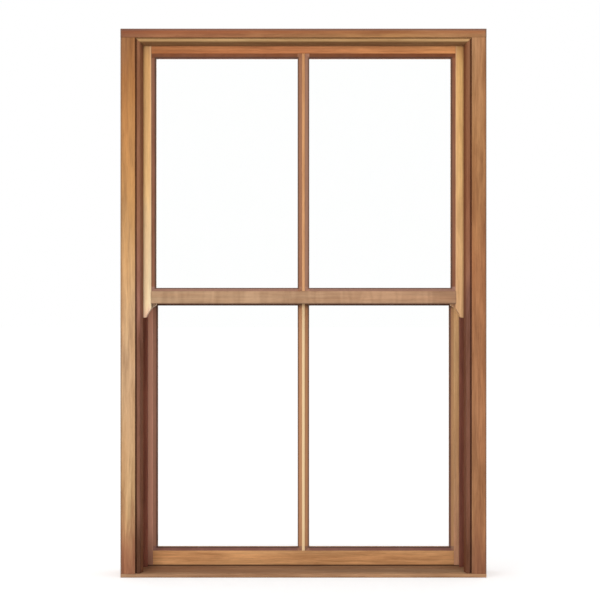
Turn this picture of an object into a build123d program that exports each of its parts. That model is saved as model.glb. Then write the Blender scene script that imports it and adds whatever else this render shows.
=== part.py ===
from build123d import *
import math
import os

# Timber sash window: two balanced sashes that slide past each other in a solid frame.
# Lengths are millimetres and angles are degrees. Seen from outside, X runs to the right and Z up.
# Pieces are drawn with Y as the depth behind the frame's outer face, and the finished window is
# moved so that the origin is the middle of the sill's underside.

# Frame
frame_width = 1000
frame_height = 1500
jamb_thickness = 40
head_thickness = 24
sill_front_height = 10.5
sill_slope = 7
drip_groove_width = 6
drip_groove_depth = 3
drip_groove_setback = 9
arris = 1.5

# Depth of each layer, from the outer face to the room
outer_stop_setback = 3
outer_stop_depth = 22
sash_thickness = 40
sash_play = 1
parting_bead_thickness = 10
inner_stop_depth = 19

# Stops and parting beads
outer_stop_projection = 20
outer_stop_flat = 9
outer_stop_tip = 4
inner_stop_projection = 14
stop_quirk_width = 4
stop_quirk_depth = 5
inner_stop_round = 9
parting_groove_depth = 8
parting_bead_projection = 28
parting_head_projection = 14
parting_bead_round = 3

# Sash members
sash_edge_gap = 2
stile_flat = 40
glazing_bevel = 12
top_rail_flat = 38
meeting_rail_flat = 34.5
meeting_bevel = 9
lower_meeting_flat = 30
lower_meeting_bevel = 11
bottom_rail_sight_height = 71
bottom_bevel = 9
bar_nose = 8
bar_bevel = 12
bar_nose_round = 2
lower_sash_rise = 35.5
sill_gap = 2

# Glazing
glass_thickness = 4
glass_setback = 14
glass_edge_gap = 2
bead_setback = 2
bead_nib = 3
ovolo_radius = 8
ovolo_step = 1.5
ovolo_land = 0.5

# Horns below the upper meeting rail
horn_drop = 38.5
horn_shoulder = 4.5
horn_lip_setback = 8
horn_lip_width = 11
horn_lip_fall = 7
horn_tip_width = 21
horn_nose_width = 5
horn_nose_rise = 2.5
horn_cove_depth = 1.2
horn_nose_bulge = 1

# Splayed joint between the meeting rails
splay_top_reach = 2
splay_bottom_reach = 8
splay_gap = 1.5
splay_lip_height = 28
meeting_end_gap = 2

# Sash travel and spiral balances
sash_travel = 590
tube_radius = 8
tube_wall = 1
tube_head_gap = 6
tube_plug_length = 25
tube_seat_gap = 0.2
balance_groove_width = 18
balance_groove_depth = 17
bush_height = 12
bush_flange_height = 3
bush_play = 0.05
bush_bore_play = 0.3
spring_outer_gap = 0.4
spring_bore_radius = 4.2
rod_radius = 3.4
rod_end_margin = 7.5
upper_rod_rise = 35
lower_rod_rise = 20
foot_plate = 3
foot_shelf = 4
foot_height = 32
tube_foot_gap = 52
foot_side_play = 0.5
foot_edge_gap = 1

# Tube screws
tube_screw_radius = 2
tube_screw_length = 34
tube_screw_head_radius = 3.6
tube_screw_head_height = 2.4
screw_play = 0.15

# Fixing holes through the jambs
fixing_radius = 3.5
fixing_sink_radius = 6.5
fixing_sink_depth = 6
fixing_bead_gap = 7
fixing_end_gap = 150

# Key-operated sash locks
lock_offset = 220
lock_drop = 20
lock_screw_radius = 4
lock_screw_length = 37
lock_screw_setback = 4
lock_screw_play = 0.05
lock_key_size = 4
lock_key_depth = 9
lock_barrel_radius = 6
lock_barrel_length = 34
lock_flange_radius = 9
lock_flange_height = 1.5
lock_hole_play = 0.5
receiver_depth = 20
receiver_setback = 2

# Sash lifts
lift_offset = 220
lift_width = 44
lift_metal = 2.5
lift_plate_height = 16
lift_reach = 27
lift_tip_rise = 11
lift_bend = 5
lift_stop_gap = 3.5

# Weather seals
seal_groove_depth = 3
seal_thickness = 4
seal_drop = 5
seal_gap = 0.3
bottom_seal_setback = 22

# Cuts run past the piece by this much
overrun = 5

# Depth of each layer's front and back
outer_stop_front = outer_stop_setback
outer_stop_back = outer_stop_front + outer_stop_depth
upper_face = outer_stop_back + sash_play
upper_back = upper_face + sash_thickness
parting_front = upper_back + sash_play
parting_back = parting_front + parting_bead_thickness
lower_face = parting_back + sash_play
lower_back = lower_face + sash_thickness
inner_stop_front = lower_back + sash_play
frame_depth = inner_stop_front + inner_stop_depth

# Half-widths and heights that several pieces share
frame_edge = frame_width / 2
jamb_face = frame_edge - jamb_thickness
outer_stop_edge = jamb_face - outer_stop_projection
inner_stop_edge = jamb_face - inner_stop_projection
parting_edge = jamb_face - parting_bead_projection
head_face = frame_height - head_thickness
outer_head_edge = head_face - outer_stop_projection
inner_head_edge = head_face - inner_stop_projection
sash_edge = jamb_face - sash_edge_gap
stile_line = sash_edge - stile_flat
stile_sight = stile_line - glazing_bevel
bar_line = bar_nose / 2
bar_sight = bar_line + bar_bevel
rebate_depth = glass_setback + glass_thickness
ovolo_width = ovolo_radius + ovolo_land + ovolo_step
meeting_reach = parting_edge - meeting_end_gap

# Balance line beside each jamb, and the heights along it: the tube hangs from the head and is as
# long as the travel needs, and the upper sash's rod starts from a foot below the tube
balance_x = jamb_face - tube_seat_gap - tube_radius
tube_bore = tube_radius - tube_wall
tube_top = head_face - tube_head_gap
tube_bore_top = tube_top - tube_plug_length
bush_top = tube_bore_top - sash_travel - rod_end_margin - rod_end_margin
tube_bottom = bush_top - bush_height
bush_bottom = tube_bottom - bush_flange_height
rod_reach = bush_top + rod_end_margin
groove_floor = sash_edge - balance_groove_depth
upper_rod_bottom = bush_bottom - tube_foot_gap - foot_height + foot_shelf

# Heights of the upper sash, which reaches down to its rod's foot and ends in the horns
upper_top = head_face - sash_edge_gap
upper_top_line = upper_top - top_rail_flat
upper_top_sight = upper_top_line - glazing_bevel
horn_bottom = upper_rod_bottom - upper_rod_rise
upper_meeting_bottom = horn_bottom + horn_drop
upper_meeting_line = upper_meeting_bottom + meeting_rail_flat
upper_meeting_sight = upper_meeting_line + meeting_bevel
splay_top = upper_meeting_sight - ovolo_width

# Heights of the lower sash
lower_sash_top = upper_meeting_bottom + lower_sash_rise
lower_meeting_line = lower_sash_top - lower_meeting_flat
lower_meeting_sight = lower_meeting_line - lower_meeting_bevel
bottom_line = bottom_rail_sight_height - bottom_bevel
lock_height = lower_sash_top - lock_drop

nodes = {}


def sill_height(depth, gap=0):
    """Height of the sloping sill top at a depth, with a gap above it."""
    return sill_front_height + depth * math.tan(math.radians(sill_slope)) + gap


def upper_splay(height):
    """Depth of the upper meeting rail's sloping back at a height."""
    share = (height - upper_meeting_bottom) / (splay_top - upper_meeting_bottom)
    return upper_back + splay_bottom_reach + share * (splay_top_reach - splay_bottom_reach)


def lower_splay(height):
    """Depth of the lower meeting rail's sloping front, which faces the upper one."""
    return upper_splay(height) + splay_gap


def face_of(points, rounds=None):
    """Flat face inside an outline, with some corners rounded: rounds maps a corner to its radius."""
    radii = [(rounds or {}).get(corner, 0) for corner in range(len(points))]
    return make_face(FilletPolyline(*points, radius=radii, close=True))


def upright(points, rounds, bottom, top):
    """Prism along Z from an outline of (x, depth) points."""
    return extrude(Pos(0, 0, bottom) * face_of(points, rounds), top - bottom, dir=(0, 0, 1))


def crosswise(points, rounds, left, right):
    """Prism along X from an outline of (depth, height) points."""
    plane = Plane(origin=(left, 0, 0), x_dir=(0, 1, 0), z_dir=(1, 0, 0))
    return extrude(plane * face_of(points, rounds), right - left, dir=(1, 0, 0))


def inward(face, front, back):
    """Prism along the depth from a face of (x, height) points."""
    plane = Plane(origin=(0, front, 0), x_dir=(1, 0, 0), z_dir=(0, -1, 0))
    return extrude(plane * face, back - front, dir=(0, 1, 0))


def rectangle(left, bottom, right, top):
    """Corners of a rectangle, counter-clockwise from its lower left."""
    return [(left, bottom), (right, bottom), (right, top), (left, top)]


def rod_along_x(radius, start, end, depth, height):
    """Cylinder along X between two places."""
    plane = Plane(origin=(start, depth, height), x_dir=(0, 1, 0), z_dir=(1, 0, 0))
    return extrude(plane * Circle(radius), end - start, dir=(1, 0, 0))


def rod_along_depth(radius, front, back, x, height):
    """Cylinder along the depth between two depths."""
    return inward(Pos(x, height) * Circle(radius), front, back)


def below_sill_line(gap=0):
    """Everything under the sill's top plane, or under a plane that stands a gap above it."""
    front = -overrun
    back = frame_depth + overrun
    outline = [
        (front, -overrun),
        (back, -overrun),
        (back, sill_height(back, gap)),
        (front, sill_height(front, gap)),
    ]
    return crosswise(outline, None, -frame_edge - overrun, frame_edge + overrun)


def turned(points):
    """Swaps (across, depth) points to (depth, height) points."""
    return [(depth, across) for across, depth in points]


def both_sides(name, right_piece):
    """Keeps a piece drawn on the right and its mirror image on the left."""
    nodes[f"{name}_right"] = right_piece
    nodes[f"{name}_left"] = mirror(right_piece, about=Plane.YZ)


def make_frame():
    """Head over the jambs, jambs on the sloping sill."""
    groove_top = head_face + parting_groove_depth
    head_outline = [
        (0, head_face),
        (parting_front, head_face),
        (parting_front, groove_top),
        (parting_back, groove_top),
        (parting_back, head_face),
        (frame_depth, head_face),
        (frame_depth, frame_height),
        (0, frame_height),
    ]
    nodes["head"] = crosswise(head_outline, {0: arris, 7: arris}, -frame_edge, frame_edge)

    drip_back = drip_groove_setback + drip_groove_width
    sill_outline = [
        (0, 0),
        (drip_groove_setback, 0),
        (drip_groove_setback, drip_groove_depth),
        (drip_back, drip_groove_depth),
        (drip_back, 0),
        (frame_depth, 0),
        (frame_depth, sill_height(frame_depth)),
        (0, sill_height(0)),
    ]
    nodes["sill"] = crosswise(sill_outline, {0: arris, 7: arris}, -frame_edge, frame_edge)

    groove_back = jamb_face + parting_groove_depth
    jamb_outline = [
        (jamb_face, 0),
        (frame_edge, 0),
        (frame_edge, frame_depth),
        (jamb_face, frame_depth),
        (jamb_face, parting_back),
        (groove_back, parting_back),
        (groove_back, parting_front),
        (jamb_face, parting_front),
    ]
    jamb = upright(jamb_outline, {0: arris, 1: arris}, 0, head_face) - below_sill_line()
    fixing_depth = parting_front - fixing_bead_gap
    start = jamb_face - overrun
    sink_end = jamb_face + fixing_sink_depth
    for height in (fixing_end_gap, frame_height / 2, frame_height - fixing_end_gap):
        jamb -= rod_along_x(fixing_radius, start, frame_edge + overrun, fixing_depth, height)
        jamb -= rod_along_x(fixing_sink_radius, start, sink_end, fixing_depth, height)
    for face in (upper_face, lower_face):
        jamb -= tube_screw(face, screw_play)
    both_sides("jamb", jamb)


def mitred(prism, corners):
    """Cuts a straight moulding to the four corners of its mitred outline, seen from outside."""
    return prism & inward(face_of(corners), 0, frame_depth)


def outer_stop_section(face, tip):
    """Section of an outer stop as (across, depth): quirk, narrow front flat and a splay to its tip."""
    quirk_back = outer_stop_front + stop_quirk_depth
    quirk_edge = face - stop_quirk_width
    return [
        (face, quirk_back),
        (quirk_edge, quirk_back),
        (quirk_edge, outer_stop_front),
        (quirk_edge - outer_stop_flat, outer_stop_front),
        (tip, outer_stop_back - outer_stop_tip),
        (tip, outer_stop_back),
        (face, outer_stop_back),
    ]


def head_corners(tip, head_tip):
    """Mitred outline of a moulding under the head, from its tips beside the jambs and under the head."""
    return [(-jamb_face, head_face), (-tip, head_tip), (tip, head_tip), (jamb_face, head_face)]


def make_outer_stops():
    """Splayed mouldings that keep the upper sash in, mitred at the head."""
    rounds = {2: arris, 3: arris}
    tip = outer_stop_edge
    side_corners = [(jamb_face, 0), (jamb_face, head_face), (tip, outer_head_edge), (tip, 0)]
    side = upright(outer_stop_section(jamb_face, tip), rounds, 0, head_face)
    both_sides("outer_stop", mitred(side, side_corners) - below_sill_line())
    section = turned(outer_stop_section(head_face, outer_head_edge))
    head = crosswise(section, rounds, -jamb_face, jamb_face)
    nodes["outer_stop_head"] = mitred(head, head_corners(tip, outer_head_edge))


def make_inner_stops():
    """Rounded mouldings that keep the lower sash in, mitred round all four sides."""
    tip = inner_stop_edge
    sill_back = sill_height(frame_depth)
    sill_stop_top = sill_back + inner_stop_projection
    side = rectangle(tip, inner_stop_front, jamb_face, frame_depth)
    side = upright(side, {3: inner_stop_round}, 0, head_face)
    side_corners = [
        (jamb_face, sill_back),
        (jamb_face, head_face),
        (tip, inner_head_edge),
        (tip, sill_stop_top),
    ]
    both_sides("inner_stop", mitred(side, side_corners))
    head = rectangle(inner_stop_front, inner_head_edge, frame_depth, head_face)
    head = crosswise(head, {1: inner_stop_round}, -jamb_face, jamb_face)
    nodes["inner_stop_head"] = mitred(head, head_corners(tip, inner_head_edge))
    sill = rectangle(inner_stop_front, 0, frame_depth, sill_stop_top)
    sill = crosswise(sill, {2: inner_stop_round}, -jamb_face, jamb_face)
    sill_corners = [
        (-jamb_face, 0),
        (jamb_face, 0),
        (jamb_face, sill_back),
        (tip, sill_stop_top),
        (-tip, sill_stop_top),
        (-jamb_face, sill_back),
    ]
    nodes["inner_stop_sill"] = mitred(sill, sill_corners) - below_sill_line()


def make_parting_beads():
    """Beads between the two sash channels, let into grooves in the jambs and the head."""
    outline = rectangle(parting_edge, parting_front, jamb_face + parting_groove_depth, parting_back)
    rounds = {0: parting_bead_round, 3: parting_bead_round}
    both_sides("parting_bead", upright(outline, rounds, 0, head_face) - below_sill_line())
    head_edge = head_face - parting_head_projection
    outline = rectangle(parting_front, head_edge, parting_back, head_face + parting_groove_depth)
    rounds = {0: parting_bead_round, 1: parting_bead_round}
    nodes["parting_bead_head"] = crosswise(outline, rounds, -parting_edge, parting_edge)


def glazed_edge(line, sight, face):
    """Glazed side of a sash member, front to back: rebate for the glass, sight edge and ovolo.

    The points are (across, depth), and the sixth is the corner that becomes the ovolo's round."""
    away = 1 if line > sight else -1
    back = face + sash_thickness
    shoulder = sight + away * ovolo_step
    inner = sight + away * ovolo_width
    return [
        (line, face),
        (line, face + rebate_depth),
        (sight, face + rebate_depth),
        (sight, back - ovolo_width),
        (shoulder, back - ovolo_width),
        (shoulder, back - ovolo_step),
        (inner, back - ovolo_step),
        (inner, back),
    ]


edge_rounds = {0: arris, 5: ovolo_radius}


def stile(face, bottom, top):
    """Right-hand stile with a through groove for the balance in its outer edge."""
    back = face + sash_thickness
    groove_front = face + (sash_thickness - balance_groove_width) / 2
    groove_back = groove_front + balance_groove_width
    outline = glazed_edge(stile_line, stile_sight, face) + [
        (sash_edge, back),
        (sash_edge, groove_back),
        (groove_floor, groove_back),
        (groove_floor, groove_front),
        (sash_edge, groove_front),
        (sash_edge, face),
    ]
    return upright(outline, edge_rounds, bottom, top)


def horned_stile():
    """Upper stile that runs on below the meeting rail and ends in a moulded horn.

    A thin lip falls from the sight line, set back from the face, and a shallow cove leads to the nose."""
    lip = rectangle(stile_sight, upper_face + horn_lip_setback, stile_line + arris, upper_back)
    piece = stile(upper_face, horn_bottom, upper_top)
    piece += upright(lip, None, horn_bottom, upper_meeting_bottom)
    tip = sash_edge - horn_tip_width
    low = horn_bottom - overrun
    lip_start = (stile_sight, upper_meeting_bottom - horn_shoulder)
    lip_end = (stile_sight + horn_lip_width, lip_start[1] - horn_lip_fall)
    bend = (tip - horn_nose_width, horn_bottom + horn_nose_rise)
    cove = SagittaArc(lip_end, bend, horn_cove_depth)
    nose = SagittaArc(bend, (tip, horn_bottom), -horn_nose_bulge)
    rest = Polyline(
        (tip, horn_bottom),
        (tip, low),
        (stile_sight - overrun, low),
        (stile_sight - overrun, lip_start[1]),
        lip_start,
        lip_end,
    )
    cutter = inward(make_face([cove, nose, rest]), upper_face - overrun, upper_back + overrun)
    return piece - cutter


def glazing_bar(face, bottom, top):
    """Upright bar with a narrow nose outside, and two ovolos inside."""
    right = glazed_edge(bar_line, bar_sight, face)
    left = [(-across, depth) for across, depth in reversed(right)]
    last = len(right) + len(left) - 1
    rounds = {0: bar_nose_round, 5: ovolo_radius, last: bar_nose_round, last - 5: ovolo_radius}
    return upright(right + left, rounds, bottom, top)


def bored(rail, radius, front, back):
    """Rail drilled for the two locks."""
    for x in (-lock_offset, lock_offset):
        rail -= rod_along_depth(radius, front, back, x, lock_height)
    return rail


def make_upper_sash():
    """Outer sash: horned stiles, top rail, meeting rail and bar, scribed to one another."""
    right = horned_stile()
    both_sides("upper_stile", right)
    stiles = (right, nodes["upper_stile_left"])

    outline = turned(glazed_edge(upper_top_line, upper_top_sight, upper_face))
    outline += [(upper_back, upper_top), (upper_face, upper_top)]
    top_rail = crosswise(outline, edge_rounds, -stile_line, stile_line)

    outline = turned(glazed_edge(upper_meeting_line, upper_meeting_sight, upper_face))[:-1]
    outline += [
        (upper_splay(splay_top), splay_top),
        (upper_splay(upper_meeting_bottom), upper_meeting_bottom),
        (upper_face, upper_meeting_bottom),
    ]
    meeting_rail = crosswise(outline, edge_rounds, -meeting_reach, meeting_reach)
    receiver_front = upper_splay(lock_height) - receiver_setback - receiver_depth
    meeting_rail = bored(meeting_rail, lock_barrel_radius, receiver_front, lower_face)

    for side in stiles:
        top_rail -= side
        meeting_rail -= side
    bar = glazing_bar(upper_face, upper_meeting_line, upper_top_line) - top_rail - meeting_rail
    nodes["upper_top_rail"] = top_rail
    nodes["upper_meeting_rail"] = meeting_rail
    nodes["upper_glazing_bar"] = bar
    low = (upper_meeting_line, upper_meeting_sight)
    high = (upper_top_line, upper_top_sight)
    make_panes("upper", upper_face, low, high)

    receiver_back = receiver_front + receiver_depth
    bore = lock_screw_radius + lock_hole_play
    for side, x in (("left", -lock_offset), ("right", lock_offset)):
        sleeve = rod_along_depth(lock_barrel_radius, receiver_front, receiver_back, x, lock_height)
        sleeve -= rod_along_depth(bore, receiver_front, receiver_back, x, lock_height)
        nodes[f"lock_receiver_{side}"] = sleeve


def make_lower_sash():
    """Inner sash: plain stiles, meeting rail, bottom rail that follows the sill, and bar."""
    right = stile(lower_face, 0, lower_sash_top) - below_sill_line(sill_gap)
    both_sides("lower_stile", right)
    stiles = (right, nodes["lower_stile_left"])

    lip_bottom = lower_sash_top - splay_lip_height
    seal_top = lower_sash_top - seal_drop
    seal_bottom = seal_top - seal_thickness
    seal_floor = lower_splay(seal_bottom) + seal_groove_depth
    outline = turned(glazed_edge(lower_meeting_line, lower_meeting_sight, lower_face))
    outline += [
        (lower_back, lower_sash_top),
        (lower_splay(lower_sash_top), lower_sash_top),
        (lower_splay(seal_top), seal_top),
        (seal_floor, seal_top),
        (seal_floor, seal_bottom),
        (lower_splay(seal_bottom), seal_bottom),
        (lower_splay(lip_bottom), lip_bottom),
        (lower_face, lip_bottom),
    ]
    meeting_rail = crosswise(outline, {5: ovolo_radius}, -meeting_reach, meeting_reach)
    barrel_front = lower_back - lock_barrel_length
    meeting_rail = bored(meeting_rail, lock_screw_radius + lock_hole_play, upper_back, lower_back)
    meeting_rail = bored(meeting_rail, lock_barrel_radius, barrel_front, lower_back)

    seal_front = lower_face + bottom_seal_setback
    seal_back = seal_front + seal_thickness
    seal_roof = sill_height(seal_back, sill_gap) + seal_groove_depth
    outline = turned(glazed_edge(bottom_line, bottom_rail_sight_height, lower_face))
    outline += [
        (lower_back, sill_height(lower_back, sill_gap)),
        (seal_back, sill_height(seal_back, sill_gap)),
        (seal_back, seal_roof),
        (seal_front, seal_roof),
        (seal_front, sill_height(seal_front, sill_gap)),
        (lower_face, sill_height(lower_face, sill_gap)),
    ]
    bottom_rail = crosswise(outline, edge_rounds, -stile_line, stile_line)

    for side in stiles:
        meeting_rail -= side
        bottom_rail -= side
    bar = glazing_bar(lower_face, bottom_line, lower_meeting_line) - meeting_rail - bottom_rail
    nodes["lower_meeting_rail"] = meeting_rail
    nodes["bottom_rail"] = bottom_rail
    nodes["lower_glazing_bar"] = bar
    low = (bottom_line, bottom_rail_sight_height)
    high = (lower_meeting_line, lower_meeting_sight)
    make_panes("lower", lower_face, low, high)

    outline = [
        (seal_floor, seal_bottom),
        (seal_floor, seal_top),
        (upper_splay(seal_top) + seal_gap, seal_top),
        (upper_splay(seal_bottom) + seal_gap, seal_bottom),
    ]
    nodes["meeting_rail_seal"] = crosswise(outline, None, -meeting_reach, meeting_reach)
    outline = [
        (seal_front, sill_height(seal_front, seal_gap)),
        (seal_back, sill_height(seal_back, seal_gap)),
        (seal_back, seal_roof),
        (seal_front, seal_roof),
    ]
    nodes["bottom_rail_seal"] = crosswise(outline, None, -stile_sight, stile_sight)


def make_panes(sash, face, low, high):
    """Two panes of a sash, each with glass and four mitred beads that bevel down to it.

    The heights of a pane's lower and upper edge are (line, sight) pairs."""
    low_line, low_sight = low
    high_line, high_sight = high
    bead_front = face + bead_setback
    glass_front = face + glass_setback
    nib_front = glass_front - bead_nib
    glass = inward(
        face_of(
            rectangle(
                bar_line + glass_edge_gap,
                low_line + glass_edge_gap,
                stile_line - glass_edge_gap,
                high_line - glass_edge_gap,
            )
        ),
        glass_front,
        glass_front + glass_thickness,
    )
    both_sides(f"{sash}_glass", glass)
    outer = rectangle(bar_line, low_line, stile_line, high_line)
    inner = rectangle(bar_sight, low_sight, stile_sight, high_sight)
    mouth = [
        Plane(origin=(0, depth, 0), x_dir=(1, 0, 0), z_dir=(0, -1, 0)) * face_of(corners)
        for depth, corners in ((bead_front, outer), (nib_front, inner))
    ]
    bevel = loft(mouth, ruled=True)
    beads = []
    for corner in range(len(outer)):
        after = (corner + 1) % len(outer)
        strip = [outer[corner], outer[after], inner[after], inner[corner]]
        beads.append((inward(face_of(strip), bead_front, glass_front) - bevel).solid())
    both_sides(f"{sash}_beads", Compound(beads))


def column(radius, bottom, top):
    """Upright cylinder on the Z axis."""
    return extrude(Pos(0, 0, bottom) * Circle(radius), top - bottom, dir=(0, 0, 1))


def tube_screw(face, play=0):
    """Right-hand screw through a tube's plug into the jamb, or its hole when it has play."""
    depth = face + sash_thickness / 2
    height = tube_top - tube_plug_length / 2
    seat = balance_x - tube_radius
    start = seat - tube_screw_head_height
    screw = rod_along_x(tube_screw_radius + play, start, seat + tube_screw_length + play, depth, height)
    return screw + rod_along_x(tube_screw_head_radius + play, start, seat, depth, height)


def make_balance(sash, face, rod_bottom, rod_top):
    """Right and left balance of one sash: tube, spinning bush, round core of the spiral rod, and foot."""
    depth = face + sash_thickness / 2
    tube = column(tube_radius, tube_bottom, tube_top) - column(tube_bore, tube_bottom, tube_bore_top)
    both_sides(f"{sash}_balance_tube", Pos(balance_x, depth) * tube - tube_screw(face, screw_play))

    bush = column(tube_bore - bush_play, tube_bottom, bush_top)
    bush += column(tube_radius, bush_bottom, tube_bottom)
    bush -= column(rod_radius + bush_bore_play, bush_bottom, bush_top)
    rod = column(rod_radius, rod_bottom, rod_top)
    for side, x in (("left", -balance_x), ("right", balance_x)):
        nodes[f"{sash}_balance_bush_{side}"] = Pos(x, depth) * bush
        nodes[f"{sash}_spiral_rod_{side}"] = Pos(x, depth) * rod

    foot_outline = [
        (groove_floor, rod_bottom - foot_shelf),
        (sash_edge - foot_edge_gap, rod_bottom - foot_shelf),
        (sash_edge - foot_edge_gap, rod_bottom),
        (groove_floor + foot_plate, rod_bottom),
        (groove_floor + foot_plate, rod_bottom - foot_shelf + foot_height),
        (groove_floor, rod_bottom - foot_shelf + foot_height),
    ]
    foot_half = balance_groove_width / 2 - foot_side_play
    both_sides(f"{sash}_rod_foot", inward(face_of(foot_outline), depth - foot_half, depth + foot_half))


def make_balances():
    """Four spiral balances, with their springs and top screws kept as groups."""
    lower_rod_bottom = sill_height(lower_back, sill_gap) + lower_rod_rise
    make_balance("upper", upper_face, upper_rod_bottom, rod_reach + sash_travel)
    make_balance("lower", lower_face, lower_rod_bottom, rod_reach)
    sleeve = column(tube_bore - spring_outer_gap, bush_top, tube_bore_top)
    sleeve -= column(spring_bore_radius, bush_top, tube_bore_top)
    springs = []
    screws = []
    for face in (upper_face, lower_face):
        screw = tube_screw(face)
        screws += [screw.solid(), mirror(screw, about=Plane.YZ).solid()]
        for x in (-balance_x, balance_x):
            springs.append((Pos(x, face + sash_thickness / 2) * sleeve).solid())
    nodes["balance_springs"] = Compound(springs)
    nodes["tube_screws"] = Compound(screws)


def make_locks():
    """Two sash locks: a flanged barrel in the lower meeting rail and the screw that runs in it."""
    barrel_front = lower_back - lock_barrel_length
    screw_back = lower_back - lock_screw_setback
    screw_front = screw_back - lock_screw_length
    for side, x in (("left", -lock_offset), ("right", lock_offset)):
        barrel = rod_along_depth(lock_barrel_radius, barrel_front, lower_back, x, lock_height)
        flange_back = lower_back + lock_flange_height
        barrel += rod_along_depth(lock_flange_radius, lower_back, flange_back, x, lock_height)
        bore = lock_screw_radius + lock_screw_play
        barrel -= rod_along_depth(bore, barrel_front, flange_back, x, lock_height)
        nodes[f"lock_barrel_{side}"] = barrel
        screw = rod_along_depth(lock_screw_radius, screw_front, screw_back, x, lock_height)
        key = Pos(x, lock_height) * Rectangle(lock_key_size, lock_key_size)
        nodes[f"lock_screw_{side}"] = screw - inward(key, screw_back - lock_key_depth, screw_back)


def make_lifts():
    """Two hook lifts on the room side of the bottom rail, bent from strip."""
    half = lift_metal / 2
    plate = lower_back + half
    arm = sill_height(frame_depth) + inner_stop_projection + lift_stop_gap + half
    path = FilletPolyline(
        (plate, arm + lift_plate_height),
        (plate, arm),
        (lower_back + lift_reach - half, arm),
        (lower_back + lift_reach - half, arm + lift_tip_rise),
        radius=[lift_bend, lift_bend],
    )
    for side, x in (("left", -lift_offset), ("right", lift_offset)):
        plane = Plane(origin=(x - lift_width / 2, 0, 0), x_dir=(0, 1, 0), z_dir=(1, 0, 0))
        nodes[f"sash_lift_{side}"] = extrude(plane * trace(path, lift_metal), lift_width, dir=(1, 0, 0))


make_frame()
make_outer_stops()
make_inner_stops()
make_parting_beads()
make_upper_sash()
make_lower_sash()
make_balances()
make_locks()
make_lifts()

os.makedirs("parts", exist_ok=True)
for name, shape in nodes.items():
    export_step(Pos(0, -frame_depth / 2, 0) * shape, f"parts/{name}.step")
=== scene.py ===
import math

import bmesh
import bpy
import numpy as np
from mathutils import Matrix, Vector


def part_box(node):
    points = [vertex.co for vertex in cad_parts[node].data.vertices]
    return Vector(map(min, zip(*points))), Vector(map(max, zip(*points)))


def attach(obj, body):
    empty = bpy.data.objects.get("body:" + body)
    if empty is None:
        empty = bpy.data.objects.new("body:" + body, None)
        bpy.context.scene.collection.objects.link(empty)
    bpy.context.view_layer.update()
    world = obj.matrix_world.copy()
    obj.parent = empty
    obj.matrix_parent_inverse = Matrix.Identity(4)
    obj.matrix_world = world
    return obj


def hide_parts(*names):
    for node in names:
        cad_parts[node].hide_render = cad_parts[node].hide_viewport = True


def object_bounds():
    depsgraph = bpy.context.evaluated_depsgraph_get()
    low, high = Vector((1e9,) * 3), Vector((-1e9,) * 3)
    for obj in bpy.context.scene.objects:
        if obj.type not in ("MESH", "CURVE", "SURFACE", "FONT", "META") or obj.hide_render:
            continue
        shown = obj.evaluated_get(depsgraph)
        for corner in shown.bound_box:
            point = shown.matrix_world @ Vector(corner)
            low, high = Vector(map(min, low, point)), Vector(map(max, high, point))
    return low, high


# Clear-finished timber sash window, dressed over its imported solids. Lengths are metres in the
# window's own frame: X to the right seen from outside, Y from the outer face to the room, Z up.
# Tints are 8-bit display colours.

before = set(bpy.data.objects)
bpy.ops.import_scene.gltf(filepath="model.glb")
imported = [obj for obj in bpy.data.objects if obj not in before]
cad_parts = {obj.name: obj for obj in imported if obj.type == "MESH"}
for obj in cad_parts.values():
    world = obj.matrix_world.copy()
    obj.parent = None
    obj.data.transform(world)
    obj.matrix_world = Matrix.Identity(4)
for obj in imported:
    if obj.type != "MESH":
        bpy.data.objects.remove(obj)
solid_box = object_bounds()

ALONG_X, DEPTH, ALONG_Z = 0, 1, 2
LOW, HIGH = 0, 1
sides = ("left", "right")
sashes = ("upper", "lower")
white = (1.0, 1.0, 1.0, 1.0)
whole_share = (0.0, 1.0)

# Socket numbers of a mix node
share_in = 0
first_vector_in, second_vector_in = 4, 5
first_colour_in, second_colour_in = 6, 7
vector_out, colour_out = 1, 2

# Camera, straight in front of the outer face
camera_distance = 4.5
camera_offset = -0.0095
camera_height = 0.7586
lens_mm = 98.85
film_mm = 36

# Stage and light
floor_reach = 40
floor_white = 0.92
floor_lift = 0.40
world_light = 0.72
key_watts = 62
key_place = (-2.6, -4.2, 1.0)
key_size = 1.8

# Timber figure: how far the grain is drawn out, and features to the metre across it
grain_stretch = 0.05
band_stretch = 0.13
ribbon_stretch = 4.0
band_rate = 44
streak_rate = 135
fibre_rate = 400
ribbon_rate = 26
pore_rate = 1300
warmth_rate = 16
drift_rate = 3.1

# Noise: how many finer layers it has, how strong each is beside the last, and how far it is bent
plain_detail = 1.0
soft_detail = 2.0
usual_detail = 3.0
fine_detail = 4.0
usual_layer_share = 0.55
crisp_layer_share = 0.6
steel_layer_share = 0.65
band_warp = 0.5
streak_warp = 0.4
ribbon_warp = 0.9

# How far a seed moves a pattern, steps from a piece's seed to its other patterns, and the metals' seeds
pattern_steps = (1.7, 2.3, 3.1)
warmth_seed_step = 0.7
upright_seed_step = 1.3
steel_seed = 3.0
brass_seed = 5.0

# Limits that noise is read between: its practical range, a crisper figure, and scattered pores
noise_limits = (0.3, 0.7)
figure_limits = (0.34, 0.66)
pore_limits = (0.60, 0.74)

# Weights of bands, streaks and fibres in the figure, and of streaks, fibres and pores in the relief
figure_weights = (0.42, 0.36, 0.22)
relief_weights = (0.4, 0.25, -0.6)
relief_strength = 0.22
relief_depth = 0.0005

# Shares of slow drift in the tone, of wander in the tints along a member, of pores and of mitre lines
drift_share = 0.06
wander_share = 0.05
pore_share = 0.35
mitre_share = 0.6

# How strong the figure is, from bold members to calm ones, and the ribbons of the meeting rail
bold_figure = 0.9
clear_figure = 0.8
soft_figure = 0.7
faint_figure = 0.6
calm_figure = 0.5
meeting_ribbon = 0.32

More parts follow.
